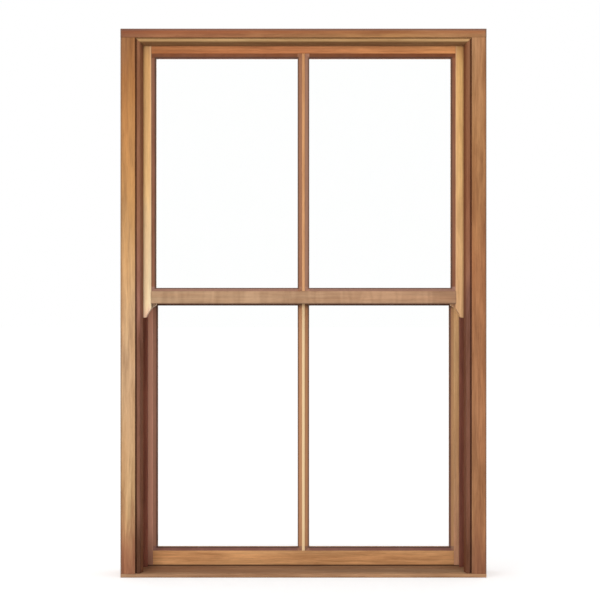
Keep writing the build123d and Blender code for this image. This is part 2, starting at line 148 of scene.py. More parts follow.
# What the figure does to a tint: shares of red, green and blue in linear light
deep_shares = (0.60, 0.52, 0.45, 1.0)
pale_shares = (1.40, 1.47, 1.53, 1.0)
ruddy_shares = (1.07, 0.94, 0.84, 1.0)
golden_shares = (0.95, 1.06, 1.12, 1.0)
pore_shares = (0.45, 0.37, 0.30, 1.0)
mitre_shares = (0.38, 0.31, 0.25, 1.0)
worn_and_highlight_shares = (1.34, 1.30, 1.26, 1.0)

# Finish of the timber: satin on the faces, duller in pores, stains, painted shade and painted highlights,
# nearly matt on weathered strips
timber_rough = (0.40, 0.54)
pore_rough = 0.12
stain_and_painted_light_rough = 0.30
stain_and_painted_light_unevenness = (0.8, 1.0)
satin_shine = 0.22
bead_shine = 0.08
weathered_shine = 0.03

# Painted shade in corners, by how open they are, beads darker at the glass, wear and painted highlight on
# arrises, by how far softening turns them
corner_reach = 0.008
corner_samples = 6
corner_limits = (0.75, 0.15)
corner_share = 0.5
corner_shade_tint = (70, 38, 22)
bead_glass_dark = (84, 66, 60)
bead_glass_dark_share = 0.9
arris_reach = 0.0012
arris_samples = 4
arris_limits = (0.98, 0.72)
mitre_band = (0.0012, 0.0003)

# Bands of stains, painted shade and painted highlights, as distances from a face: where each starts and
# where it is full
edge_band = (0.0050, 0.0015)
heart_band = (0.0170, 0.0110)
top_band = (0.0070, 0.0030)
head_end_band = (0.1100, 0.0040)
slope_band = (0.0040, 0.0200)
splay_band = (0.0060, 0.0030)
head_splay_band = (0.0135, 0.0075)
foot_shade_band = (0.0035, 0.0008)
bead_band = (0.0130, 0.0115)
bead_edge_band = (0.0080, 0.0060)
glass_band = (0.0050, 0.0080)
shadow_band = (0.0220, 0.0090)
outer_face_band = (0.0150, 0.0060)
face_band = (0.0030, 0.0010)
stile_foot_shade_band = (0.1100, 0.0200)
under_rail_shade_band = (-0.0120, -0.0010)

# Reach of painted shade and painted highlights that start from a neighbour's edge, and how far behind the
# outer face stains and painted light go
stop_shade_width = 0.0060
lip_overlap = (0.0005, -0.0010)
inner_highlight_reach = (0.0050, 0.0015)
face_depth = 0.0
lip_depth = 0.0100

# Metal, nylon, seal and glass: tints, features to the metre, roughness and depth of their relief
steel_dull = (168, 170, 172)
steel_bright = (205, 205, 200)
steel_mark_rate = 900
steel_patch_rate = 60
steel_rough = (0.24, 0.36)
brass_brown = (190, 144, 72)
brass_yellow = (222, 182, 104)
brass_worn = (240, 212, 150)
brass_brush_rate = 1100
brass_patch_rate = 85
brass_rough = (0.22, 0.38)
brass_worn_share = 0.6
metal_patch_rough = 0.1
metal_relief_strength = 0.12
metal_relief_depth = 0.0002
nylon_yellowed = (226, 222, 208)
nylon_milky = (240, 238, 230)
nylon_patch_rate = 150
nylon_skin_rate = 2600
nylon_rough = (0.42, 0.56)
nylon_relief_strength = 0.15
nylon_relief_depth = 0.0001
seal_dark = (34, 31, 30)
seal_dusty = (74, 68, 62)
pile_rate = 2200
pile_rough = (0.75, 0.95)
pile_relief_strength = 0.5
pile_relief_depth = 0.0004
dust_rate = 40
dust_limits = (0.4, 0.8)
haze_rate = 22
haze_limits = (0.55, 0.8)
haze_rough = 0.02
swell_rate = 5
swell_strength = 0.03
swell_depth = 0.0002
glass_tint = (0.985, 0.995, 0.990, 1.0)
glass_ior = 1.5

# Twisted strip of the spiral balances: pitch, rows of points to a turn, and shares of its round core
spiral_pitch = 0.1
spiral_rows = 40
strip_width_share = 0.94
strip_thickness_share = 0.32

# Screw heads on the lifts, and how near to each other points are merged
screw_rows = 33
screw_slot_share = 0.16
screw_slot_depth_share = 0.55
lift_metal = 0.0025
lift_screw_radius = 0.0042
lift_screw_crown = 0.0011
lift_screw_spread = 0.013
lift_screw_drop = 0.0055
merge_reach = 1e-6


def linear(red, green, blue):
    """Shader colour of an 8-bit display colour, by the standard display curve.

    Shares of 255 up to 0.04045 are divided by 12.92. Larger ones have 0.055 added, are divided by
    1.055 and raised to the power 2.4."""
    shares = np.array((red, green, blue)) / 255
    curve = np.where(shares <= 0.04045, shares / 12.92, ((shares + 0.055) / 1.055) ** 2.4)
    return tuple(float(share) for share in curve) + (1.0,)


def new_finish(name):
    """Empty material with its surface shader joined to the output, and its object coordinates."""
    material = bpy.data.materials.new(name)
    material.use_nodes = True
    tree = material.node_tree
    tree.nodes.clear()
    surface = tree.nodes.new("ShaderNodeBsdfPrincipled")
    output = tree.nodes.new("ShaderNodeOutputMaterial")
    tree.links.new(surface.outputs["BSDF"], output.inputs["Surface"])
    return material, tree, surface, put(tree, "TexCoord").outputs["Object"]


def put(tree, kind, inputs=None, **settings):
    """Adds a node with its settings, and gives each input a socket to follow or a fixed value."""
    node = tree.nodes.new("ShaderNode" + kind)
    for key, value in settings.items():
        setattr(node, key, value)
    for key, value in (inputs or {}).items():
        if isinstance(value, bpy.types.NodeSocket):
            tree.links.new(value, node.inputs[key])
        else:
            node.inputs[key].default_value = value
    return node


def noise(tree, vector, rate, detail=usual_detail, layer_share=usual_layer_share, warp=0.0):
    """Value noise with so many features to the metre."""
    inputs = {"Vector": vector, "Scale": rate, "Detail": detail}
    inputs |= {"Roughness": layer_share, "Distortion": warp}
    return put(tree, "TexNoise", inputs).outputs[0]


def spread(tree, value, start=0.0, end=1.0, limits=noise_limits):
    """Stretches a value's range from its limits to start and end, held at both ends."""
    low, high = limits
    inputs = {"Value": value, "From Min": low, "From Max": high, "To Min": start, "To Max": end}
    return put(tree, "MapRange", inputs).outputs[0]


def sums(tree, kind, first, second=0.0):
    """Arithmetic on two values."""
    return put(tree, "Math", {0: first, 1: second}, operation=kind).outputs[0]


def weighed(tree, values, weights):
    """Adds up values times their weights."""
    result = sums(tree, "MULTIPLY", values[0], weights[0])
    for value, weight in zip(values[1:], weights[1:]):
        result = put(tree, "Math", {0: value, 1: weight, 2: result}, operation="MULTIPLY_ADD").outputs[0]
    return result


def blend(tree, share, first, second, kind="MIX"):
    """Mixes two colours."""
    inputs = {share_in: share, first_colour_in: first, second_colour_in: second}
    return put(tree, "Mix", inputs, data_type="RGBA", blend_type=kind).outputs[colour_out]


def ramp(tree, share, stops):
    """Colour along a share of 0 to 1, through stops of (share, display colour)."""
    node = put(tree, "ValToRGB", {"Fac": share})
    elements = node.color_ramp.elements
    while len(elements) < len(stops):
        elements.new(1.0)
    for element, (place, tint) in zip(elements, stops):
        element.position = place
        element.color = linear(*tint)
    return node.outputs["Color"]


def emboss(tree, surface, height, strength, depth, normal=None):
    """Bumps a finish by a height pattern, so many metres deep."""
    inputs = {"Strength": strength, "Distance": depth, "Height": height}
    if normal is not None:
        inputs["Normal"] = normal
    tree.links.new(put(tree, "Bump", inputs).outputs[0], surface.inputs["Normal"])


def drawn_out(tree, place, axis, seed, stretch=grain_stretch):
    """Coordinates drawn out along the grain and moved to a piece's own patch of the pattern."""
    scale = [1.0, 1.0, 1.0]
    scale[axis] = stretch
    offset = [step * seed for step in pattern_steps]
    return put(tree, "Mapping", {"Vector": place, "Location": offset, "Scale": scale}).outputs[0]


def arris_share(tree):
    """How far the surface is turned by softening its edges: 0 on flats, towards 1 on an arris."""
    soft = put(tree, "Bevel", {"Radius": arris_reach}, samples=arris_samples).outputs[0]
    plain = put(tree, "NewGeometry").outputs["Normal"]
    agree = put(tree, "VectorMath", {0: soft, 1: plain}, operation="DOT_PRODUCT").outputs["Value"]
    return soft, spread(tree, agree, limits=arris_limits)


def distance_out(tree, part, middle, half):
    """How far a coordinate lies outside a strip about its middle, negative inside."""
    from_middle = sums(tree, "ABSOLUTE", sums(tree, "SUBTRACT", part, middle))
    return sums(tree, "SUBTRACT", from_middle, half)


def mitred_grain(tree, place, parts, strips, seed):
    """Grain along each side of a mitred rectangle of mouldings, and how near a point is to a mitre.

    A point belongs to an upright side where it is further out across than along: where its distance
    from the middle in x, less the half width, is more than that in z, less the half height."""
    middle_x, half_x, middle_z, half_z = strips
    out_x = distance_out(tree, parts[ALONG_X], middle_x, half_x)
    out_z = distance_out(tree, parts[ALONG_Z], middle_z, half_z)
    lean = sums(tree, "SUBTRACT", out_x, out_z)
    upright = sums(tree, "GREATER_THAN", lean)
    across = drawn_out(tree, place, ALONG_X, seed)
    along = drawn_out(tree, place, ALONG_Z, seed + upright_seed_step)
    inputs = {share_in: upright, first_vector_in: across, second_vector_in: along}
    grain = put(tree, "Mix", inputs, data_type="VECTOR").outputs[vector_out]
    return grain, spread(tree, sums(tree, "ABSOLUTE", lean), limits=mitre_band)


def timber(name, tints, axis, reach, seed, figure, stains_and_painted_light=(), strips=None, ribbon=0.0, shine=satin_shine):
    """Satin-finished timber: bands, streaks, fibres and pores drawn out along the grain.

    The tints, (share, display colour) stops, run along the grain axis over the reach (low, high), and
    a slow noise makes them redder or more golden. The figure says how strong bands and streaks are,
    and the ribbon how strong the patches are that cross the grain.
    Stains and painted light, (axis, clear place, full place, display colour, share, face), tint and dull
    the surface towards a place on an axis, and where they name the depth of a face, only close to that
    face. Some are stains, others painted shade or painted highlights.
    Strips, (middle x, half x, middle z, half z), turn the grain round a mitred rectangle."""
    material, tree, surface, place = new_finish(name)
    parts = put(tree, "SeparateXYZ", {0: place}).outputs
    mitre = None
    if strips is None:
        grain = drawn_out(tree, place, axis, seed)
    else:
        grain, mitre = mitred_grain(tree, place, parts, strips, seed)

    bands = noise(tree, drawn_out(tree, place, axis, seed, band_stretch), band_rate, warp=band_warp)
    streaks = noise(tree, grain, streak_rate, layer_share=crisp_layer_share, warp=streak_warp)
    fibres = noise(tree, grain, fibre_rate, soft_detail, crisp_layer_share)
    pores = spread(tree, noise(tree, grain, pore_rate, plain_detail), limits=pore_limits)
    warmth = noise(tree, drawn_out(tree, place, axis, seed + warmth_seed_step), warmth_rate)
    drift = noise(tree, place, drift_rate, soft_detail)
    patches = drawn_out(tree, place, axis, seed, ribbon_stretch)
    ribbons = noise(tree, patches, ribbon_rate / ribbon_stretch, soft_detail, warp=ribbon_warp)

    crisp = [spread(tree, pattern, limits=figure_limits) for pattern in (bands, streaks, fibres)]
    figured = weighed(tree, crisp, figure_weights)
    tone = spread(tree, figured, 0.5 - figure / 2, 0.5 + figure / 2, whole_share)
    tone = sums(tree, "ADD", tone, spread(tree, drift, -drift_share, drift_share))
    tone = sums(tree, "ADD", tone, spread(tree, ribbons, -ribbon / 2, ribbon / 2, figure_limits))
    share = spread(tree, parts[axis], limits=reach)
    share = sums(tree, "ADD", share, spread(tree, bands, -wander_share, wander_share))
    colour = ramp(tree, share, tints)
    colour = blend(tree, 1.0, colour, blend(tree, tone, deep_shares, pale_shares), "MULTIPLY")
    hue = blend(tree, spread(tree, warmth), ruddy_shares, golden_shares)
    colour = blend(tree, 1.0, colour, hue, "MULTIPLY")
    colour = blend(tree, sums(tree, "MULTIPLY", pores, pore_share), colour, pore_shares, "MULTIPLY")
    if mitre is not None:
        colour = blend(tree, sums(tree, "MULTIPLY", mitre, mitre_share), colour, mitre_shares, "MULTIPLY")

    soft, arris = arris_share(tree)
    # Arrises lightened, partly as wear and partly as a painted highlight
    colour = blend(tree, arris, colour, worn_and_highlight_shares, "MULTIPLY")
    uneven = spread(tree, streaks, *stain_and_painted_light_unevenness)
    pitted = sums(tree, "MULTIPLY", pores, pore_rough)
    rough = sums(tree, "ADD", spread(tree, streaks, *timber_rough), pitted)
    # Stains, painted shade and painted highlights, each tinting and dulling towards its band
    for stain_or_light_axis, clear, full, tint, most, face in stains_and_painted_light:
        depth = spread(tree, parts[stain_or_light_axis], 0.0, most, (clear, full))
        depth = sums(tree, "MULTIPLY", depth, uneven)
        if face is not None:
            near = spread(tree, parts[DEPTH], limits=(face + face_band[0], face + face_band[1]))
            depth = sums(tree, "MULTIPLY", depth, near)
        colour = blend(tree, depth, colour, linear(*tint))
        rough = sums(tree, "ADD", rough, sums(tree, "MULTIPLY", depth, stain_and_painted_light_rough))
    # Painted shade in corners and recesses: darker where the surface is less open
    nook = put(tree, "AmbientOcclusion", {"Distance": corner_reach}, samples=corner_samples).outputs["AO"]
    corner_shade = spread(tree, nook, 0.0, corner_share, corner_limits)
    colour = blend(tree, corner_shade, colour, linear(*corner_shade_tint))
    tree.links.new(colour, surface.inputs["Base Color"])
    tree.links.new(rough, surface.inputs["Roughness"])
    relief = weighed(tree, (streaks, fibres, pores), relief_weights)
    emboss(tree, surface, relief, relief_strength, relief_depth, soft)
    surface.inputs["Specular IOR Level"].default_value = shine
    return material


def drawn_steel():
    """Zinc-plated steel: fine drawing marks along the height, dull patches and slight waviness."""
    material, tree, surface, place = new_finish("zinc_plated_steel")
    marks = noise(tree, drawn_out(tree, place, ALONG_Z, steel_seed), steel_mark_rate)
    patches = noise(tree, place, steel_patch_rate, fine_detail, steel_layer_share)
    colour = blend(tree, patches, linear(*steel_dull), linear(*steel_bright))
    tree.links.new(colour, surface.inputs["Base Color"])
    dull = spread(tree, patches, 0.0, metal_patch_rough)
    rough = sums(tree, "ADD", spread(tree, marks, *steel_rough), dull)
    tree.links.new(rough, surface.inputs["Roughness"])
    emboss(tree, surface, marks, metal_relief_strength, metal_relief_depth)
    surface.inputs["Metallic"].default_value = 1.0
    return material


def satin_brass():
    """Lacquered brass: brushing along the width, browner in slow patches, brighter on worn edges."""
    material, tree, surface, place = new_finish("satin_brass")
    brushing = noise(tree, drawn_out(tree, place, ALONG_X, brass_seed), brass_brush_rate)
    patches = noise(tree, place, brass_patch_rate, fine_detail, crisp_layer_share)
    colour = blend(tree, spread(tree, patches), linear(*brass_brown), linear(*brass_yellow))
    soft, arris = arris_share(tree)
    worn = sums(tree, "MULTIPLY", arris, brass_worn_share)
    colour = blend(tree, worn, colour, linear(*brass_worn))
    tree.links.new(colour, surface.inputs["Base Color"])
    dull = spread(tree, patches, 0.0, metal_patch_rough)
    rough = sums(tree, "ADD", spread(tree, brushing, *brass_rough), dull)
    tree.links.new(rough, surface.inputs["Roughness"])
    emboss(tree, surface, brushing, metal_relief_strength, metal_relief_depth, soft)
    surface.inputs["Metallic"].default_value = 1.0
    return material


def natural_nylon():
    """Moulded nylon bush: milky, faintly yellowed in patches, with a fine moulded skin."""
    material, tree, surface, place = new_finish("natural_nylon")
    patches = noise(tree, place, nylon_patch_rate)
    skin = noise(tree, place, nylon_skin_rate, soft_detail)
    colour = blend(tree, patches, linear(*nylon_yellowed), linear(*nylon_milky))
    tree.links.new(colour, surface.inputs["Base Color"])
    tree.links.new(spread(tree, skin, *nylon_rough), surface.inputs["Roughness"])
    emboss(tree, surface, skin, nylon_relief_strength, nylon_relief_depth)
    return material


def pile_seal():
    """Dark weather seal: a fine pile across the strip, dusty in patches."""
    material, tree, surface, place = new_finish("dark_seal_pile")
    pile = noise(tree, place, pile_rate, soft_detail)
    dust = spread(tree, noise(tree, place, dust_rate), limits=dust_limits)
    colour = blend(tree, dust, linear(*seal_dark), linear(*seal_dusty))
    tree.links.new(colour, surface.inputs["Base Color"])
    tree.links.new(spread(tree, pile, *pile_rough), surface.inputs["Roughness"])
    emboss(tree, surface, pile, pile_relief_strength, pile_relief_depth)
    return material


def float_glass():
    """Clear float glass: hardly any tint, a trace of unevenness and of dried-on haze."""
    material, tree, surface, place = new_finish("clear_float_glass")
    haze = noise(tree, place, haze_rate, fine_detail, crisp_layer_share)
    swell = noise(tree, place, swell_rate, plain_detail)
    tree.links.new(blend(tree, haze, glass_tint, white), surface.inputs["Base Color"])
    tree.links.new(spread(tree, haze, 0.0, haze_rough, haze_limits), surface.inputs["Roughness"])
    emboss(tree, surface, swell, swell_strength, swell_depth)
    surface.inputs["Transmission Weight"].default_value = 1.0
    surface.inputs["IOR"].default_value = glass_ior
    return material


def grid_quads(index):
    """Corner numbers of the quads between neighbouring rows and columns of a grid of points."""
    corners = (index[:-1, :-1], index[1:, :-1], index[1:, 1:], index[:-1, 1:])
    return np.stack(corners, axis=-1).reshape(-1, 4)


def skin_object(name, points, faces, material, body):
    """Mesh object at the origin from whole arrays, with doubled rims merged, that rides on a body."""
    mesh = bpy.data.meshes.new(name)
    mesh.from_pydata(points.tolist(), [], faces)
    skin = bmesh.new()
    skin.from_mesh(mesh)
    bmesh.ops.remove_doubles(skin, verts=skin.verts, dist=merge_reach)
    bmesh.ops.recalc_face_normals(skin, faces=skin.faces)
    skin.to_mesh(mesh)
    skin.free()
    piece = bpy.data.objects.new(name, mesh)
    bpy.context.scene.collection.objects.link(piece)
    mesh.materials.append(material)
    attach(piece, body)
    return piece


def slotted_head(centre, out, radius, crown):
    """Domed screw head with a straight slot, as one closed skin.

    A square grid (u, v) is pulled to a disc: across = u sqrt(1 - v v / 2), along = v sqrt(1 - u u / 2).
    The dome stands crown (1 - r r) above its seat, and loses part of that inside the slot, where u is
    under the slot's share. The seat is the same disc at height 0, so both meet at the rim."""
    edge = np.linspace(-1, 1, screw_rows)
    u, v = np.meshgrid(edge, edge, indexing="ij")
    across = u * np.sqrt(1 - v * v / 2)
    along = v * np.sqrt(1 - u * u / 2)
    dome = crown * np.clip(1 - across**2 - along**2, 0, 1)
    rise = np.where(np.abs(u) < screw_slot_share, dome * (1 - screw_slot_depth_share), dome)
    out = np.array(out, dtype=float)
    slot_way = np.array((0.0, 0.0, 1.0))
    cross_way = np.cross(out, slot_way)
    flat = np.array(centre) + radius * (across[..., None] * cross_way + along[..., None] * slot_way)
    points = np.concatenate([(flat + rise[..., None] * out).reshape(-1, 3), flat.reshape(-1, 3)])
    index = np.arange(screw_rows * screw_rows).reshape(screw_rows, screw_rows)
    quads = grid_quads(index)
    return points, np.concatenate([quads, quads[:, ::-1] + index.size]).tolist()


def twisted_strip(node):
    """Flat strip twisted about its rod's upright centre line, as one closed skin.

    A thin rectangle, with three points on each long side, is carried up the line. At a height h above
    its foot it is turned by 2 pi h / pitch, so the strip makes one turn for each pitch."""
    low, high = (np.array(corner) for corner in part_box(node))
    centre = (low + high) / 2
    core = (high[ALONG_X] - low[ALONG_X]) / 2
    across = np.array((-1, 0, 1, 1, 0, -1)) * core * strip_width_share
    through = np.array((-1, -1, -1, 1, 1, 1)) * core * strip_thickness_share
    rows = int((high[ALONG_Z] - low[ALONG_Z]) / spiral_pitch * spiral_rows) + 1
    height = np.linspace(low[ALONG_Z], high[ALONG_Z], rows)[:, None]
    turn = math.tau * (height - low[ALONG_Z]) / spiral_pitch
    x = centre[ALONG_X] + across * np.cos(turn) - through * np.sin(turn)
    y = centre[DEPTH] + across * np.sin(turn) + through * np.cos(turn)
    points = np.stack([x, y, np.broadcast_to(height, x.shape)], axis=-1).reshape(-1, 3)
    index = np.arange(points.shape[0]).reshape(rows, -1)
    around = np.concatenate([index, index[:, :1]], axis=1)
    return points, grid_quads(around).tolist() + [index[0, ::-1].tolist(), index[-1].tolist()]


def dress(node, material):
    """Gives a solid one finish."""
    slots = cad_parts[node].data.materials
    slots.clear()
    slots.append(material)


def stain_or_painted_light(node, axis, end, band, tint, most, outer_depth=None):
    """Stain, painted shade or painted highlight that starts and is full at a band's two distances from a low
    or high face on an axis.

    Where it is full, it takes the most share of the colour. It may stay on the member's outer side,
    down to a depth behind its outer face."""
    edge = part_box(node)[end][axis]
    inwards = 1 if end == LOW else -1
    clear, full = band
    face = None if outer_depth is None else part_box(node)[LOW][DEPTH] + outer_depth
    return axis, edge + inwards * clear, edge + inwards * full, tint, most, face


def member(node, axis, tints, seed, figure=bold_figure, stains_and_painted_light=(), ribbon=0.0, shine=satin_shine):
    """Dresses a timber member, with tints from its low end to its high end."""
    low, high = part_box(node)
    reach = (low[axis], high[axis])
    finish = timber(f"timber_{node}", tints, axis, reach, seed, figure, stains_and_painted_light, None, ribbon, shine)
    dress(node, finish)


def even(*tints):
    """Evenly spread stops."""
    last = max(1, len(tints) - 1)
    return [(number / last, tint) for number, tint in enumerate(tints)]


def bead_set(node, tint, seed, stains_and_painted_light=()):
    """Dresses a pane's four glazing beads, each with its grain along its own length, darker towards the
    glass.
    """
    low, high = (np.array(corner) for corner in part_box(node))
    middle = (low + high) / 2
    half = (high - low) / 2
    strips = (middle[ALONG_X], half[ALONG_X], middle[ALONG_Z], half[ALONG_Z])
    reach = (low[ALONG_Z], high[ALONG_Z])
    glass_dark = stain_or_painted_light(node, DEPTH, LOW, glass_band, bead_glass_dark, bead_glass_dark_share)
    tints = even(tint, tint)
    every = (*stains_and_painted_light, glass_dark)
    name = f"timber_{node}"
    finish = timber(name, tints, ALONG_Z, reach, seed, soft_figure, every, strips, shine=bead_shine)
    dress(node, finish)


# Jambs, golden on the left and browner on the right, with greyed outer edges
edge_grey = (122, 98, 80)
edge_share = 0.8
jamb_left_tints = [
    (0.0, (160, 109, 80)),
    (0.04, (172, 123, 89)),
    (0.13, (201, 165, 120)),
    (0.4, (201, 166, 129)),
    (0.54, (210, 169, 121)),
    (0.68, (189, 140, 86)),
    (0.83, (190, 134, 78)),
    (0.92, (168, 112, 60)),
    (1.0, (152, 101, 60)),
]
jamb_right_tints = [
    (0.0, (148, 98, 69)),
    (0.13, (172, 120, 80)),
    (0.25, (174, 118, 79)),
    (0.54, (176, 119, 78)),
    (0.7, (168, 115, 72)),
    (0.85, (173, 121, 77)),
    (1.0, (184, 132, 90)),
]
jamb_left_stains = [stain_or_painted_light("jamb_left", ALONG_X, LOW, edge_band, edge_grey, edge_share, face_depth)]
jamb_right_stains = [stain_or_painted_light("jamb_right", ALONG_X, HIGH, edge_band, edge_grey, edge_share, face_depth)]
member("jamb_left", ALONG_Z, jamb_left_tints, 1.1, stains_and_painted_light=jamb_left_stains)
member("jamb_right", ALONG_Z, jamb_right_tints, 2.4, stains_and_painted_light=jamb_right_stains)

# Head with a red heart streak, a greyed top edge and a dark left end, and a sill with painted shade on its
# slope, darker further back
head_tints = even((147, 92, 58), (158, 102, 66), (167, 117, 75), (181, 128, 79), (180, 131, 90))
head_stains = [
    stain_or_painted_light("head", ALONG_Z, HIGH, heart_band, (158, 84, 48), 0.45),
    stain_or_painted_light("head", ALONG_Z, HIGH, top_band, (134, 102, 92), 0.9, face_depth),
    stain_or_painted_light("head", ALONG_X, LOW, head_end_band, (104, 62, 50), 0.4, face_depth),
    stain_or_painted_light("head", ALONG_X, LOW, edge_band, edge_grey, edge_share, face_depth),
    stain_or_painted_light("head", ALONG_X, HIGH, edge_band, edge_grey, edge_share, face_depth),
]
member("head", ALONG_X, head_tints, 3.2, stains_and_painted_light=head_stains)
# Painted shade on the sill's slope, darker further back towards the sash
sill_slope_shade = [stain_or_painted_light("sill", DEPTH, LOW, slope_band, (120, 82, 62), 0.4)]
member("sill", ALONG_X, even((172, 131, 98), (184, 144, 108)), 4.5, stains_and_painted_light=sill_slope_shade)

# Stops and parting beads: painted shade in the stops' splays, dark parting beads in the channels
low_stop_tints = [(0.0, (108, 70, 52)), (0.15, (134, 89, 70)), (0.38, (137, 91, 73))]
high_stop_tints = [(0.66, (155, 104, 77)), (0.95, (143, 96, 68))]
side_stops = (
    ("left", HIGH, (126, 82, 56), (168, 115, 97), 5.3),
    ("right", LOW, (104, 62, 38), (138, 94, 79), 6.1),
)
for side, tip, splay_tint, middle_tint, seed in side_stops:
    node = f"outer_stop_{side}"
    # Painted shade in the splay of each side stop
    splay_shade = stain_or_painted_light(node, ALONG_X, tip, splay_band, splay_tint, 0.7)
    side_stop_tints = [*low_stop_tints, (0.5, middle_tint), *high_stop_tints]
    member(node, ALONG_Z, side_stop_tints, seed, soft_figure, [splay_shade], shine=weathered_shine)
# Painted shade in the head stop's splay
splay_shade = stain_or_painted_light("outer_stop_head", ALONG_Z, LOW, head_splay_band, (90, 50, 28), 0.88)
head_stop_tints = even((206, 160, 108), (212, 166, 114))
member("outer_stop_head", ALONG_X, head_stop_tints, 7.7, soft_figure, [splay_shade], shine=weathered_shine)
member("parting_bead_left", ALONG_Z, even((138, 78, 58), (122, 70, 52)), 8.2)
member("parting_bead_right", ALONG_Z, even((124, 70, 54), (120, 70, 52)), 9.6)
member("parting_bead_head", ALONG_X, even((128, 78, 58), (124, 74, 56)), 10.4)
member("inner_stop_left", ALONG_Z, even((184, 136, 92), (178, 130, 86)), 11.9)
member("inner_stop_right", ALONG_Z, even((178, 128, 88), (176, 128, 86)), 12.3)
member("inner_stop_head", ALONG_X, even((176, 126, 86), (180, 130, 90)), 13.8)
member("inner_stop_sill", ALONG_X, even((180, 132, 92), (184, 136, 94)), 14.1)

# Upper sash: golden stiles with painted shade beside the stops and on the horn lips and a painted highlight
# along their inner edges, orange top rail, ribboned meeting rail with a painted shade line along its foot
stop_shade = (150, 104, 62)
stop_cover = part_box("outer_stop_left")[HIGH][ALONG_X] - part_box("upper_stile_left")[LOW][ALONG_X]
stop_band = (stop_cover + stop_shade_width, stop_cover)
flat_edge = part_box("upper_stile_left")[HIGH][ALONG_X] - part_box("upper_beads_left")[LOW][ALONG_X]
# Painted shade on the horn lips under the meeting rail, and a painted highlight along the stiles' inner
# edges
lip_shade_band = [flat_edge + overlap for overlap in lip_overlap]
inner_highlight_band = [flat_edge + reach for reach in inner_highlight_reach]
stile_left_stains_and_painted_light = [
    stain_or_painted_light("upper_stile_left", ALONG_X, LOW, stop_band, stop_shade, 0.2),
    stain_or_painted_light("upper_stile_left", ALONG_X, HIGH, inner_highlight_band, (248, 206, 164), 0.5, face_depth),
    stain_or_painted_light("upper_stile_left", ALONG_X, HIGH, lip_shade_band, (130, 92, 64), 0.9, lip_depth),
]
stile_right_painted_light = [
    stain_or_painted_light("upper_stile_right", ALONG_X, HIGH, stop_band, stop_shade, 0.5),
    stain_or_painted_light("upper_stile_right", ALONG_X, LOW, inner_highlight_band, (232, 180, 138), 0.5, face_depth),
    stain_or_painted_light("upper_stile_right", ALONG_X, LOW, lip_shade_band, (158, 116, 88), 0.9, lip_depth),
]
stile_left_tints = [
    (0.0, (246, 208, 180)),
    (0.06, (255, 232, 190)),
    (0.5, (235, 188, 127)),
    (0.90, (220, 166, 104)),
    (0.98, (196, 146, 94)),
]
stile_right_tints = [
    (0.0, (224, 178, 130)),
    (0.5, (234, 188, 126)),
    (0.90, (228, 182, 116)),
    (0.98, (190, 140, 86)),
]
member("upper_stile_left", ALONG_Z, stile_left_tints, 15.9, calm_figure, stile_left_stains_and_painted_light)
member("upper_stile_right", ALONG_Z, stile_right_tints, 16.2, soft_figure, stile_right_painted_light)
member("upper_top_rail", ALONG_X, even((184, 119, 71), (192, 125, 80), (210, 146, 92)), 17.6, clear_figure)
# Painted shade line along the meeting rail's foot
rail_foot_shade = stain_or_painted_light("upper_meeting_rail", ALONG_Z, LOW, foot_shade_band, (104, 78, 62), 0.65)
meeting_tints = even((187, 150, 116), (184, 144, 113))
member("upper_meeting_rail", ALONG_X, meeting_tints, 18.9, calm_figure, [rail_foot_shade], ribbon=meeting_ribbon)
member("upper_glazing_bar", ALONG_Z, even((220, 164, 116), (212, 154, 104)), 19.3, faint_figure)
upper_panes = (
    ("left", HIGH, (155, 104, 79), (172, 122, 92), 20.5),
    ("right", LOW, (144, 94, 69), (198, 150, 125), 21.7),
)
for side, bar, tint, bar_tint, seed in upper_panes:
    node = f"upper_beads_{side}"
    bead_stains_and_shade = [
        stain_or_painted_light(node, ALONG_Z, HIGH, bead_band, (126, 72, 42), 0.7),
        stain_or_painted_light(node, ALONG_Z, LOW, bead_band, (186, 144, 126), 0.75),
        stain_or_painted_light(node, ALONG_X, bar, bead_band, bar_tint, 0.8),
    ]
    bead_set(node, tint, seed, bead_stains_and_shade)

# Lower sash: pinkish left stile with painted shade at its foot, lighter right one, pale bar with painted
# shadow under the meeting rail, beads with painted shadow under the meeting rail
stile_left_tints = even((198, 148, 106), (204, 154, 110))
stile_left_stains_and_painted_light = [
    stain_or_painted_light("lower_stile_left", DEPTH, LOW, outer_face_band, (218, 157, 133), 0.95),
    # Painted shade towards the foot of the stile
    stain_or_painted_light("lower_stile_left", ALONG_Z, LOW, stile_foot_shade_band, (122, 84, 64), 0.6),
]
stile_right_tints = even((196, 142, 110), (214, 162, 112), (222, 170, 116))
member("lower_stile_left", ALONG_Z, stile_left_tints, 22.2, soft_figure, stile_left_stains_and_painted_light)
member("lower_stile_right", ALONG_Z, stile_right_tints, 23.8, soft_figure)
member("lower_meeting_rail", ALONG_X, even((184, 140, 108), (180, 136, 104)), 24.4)
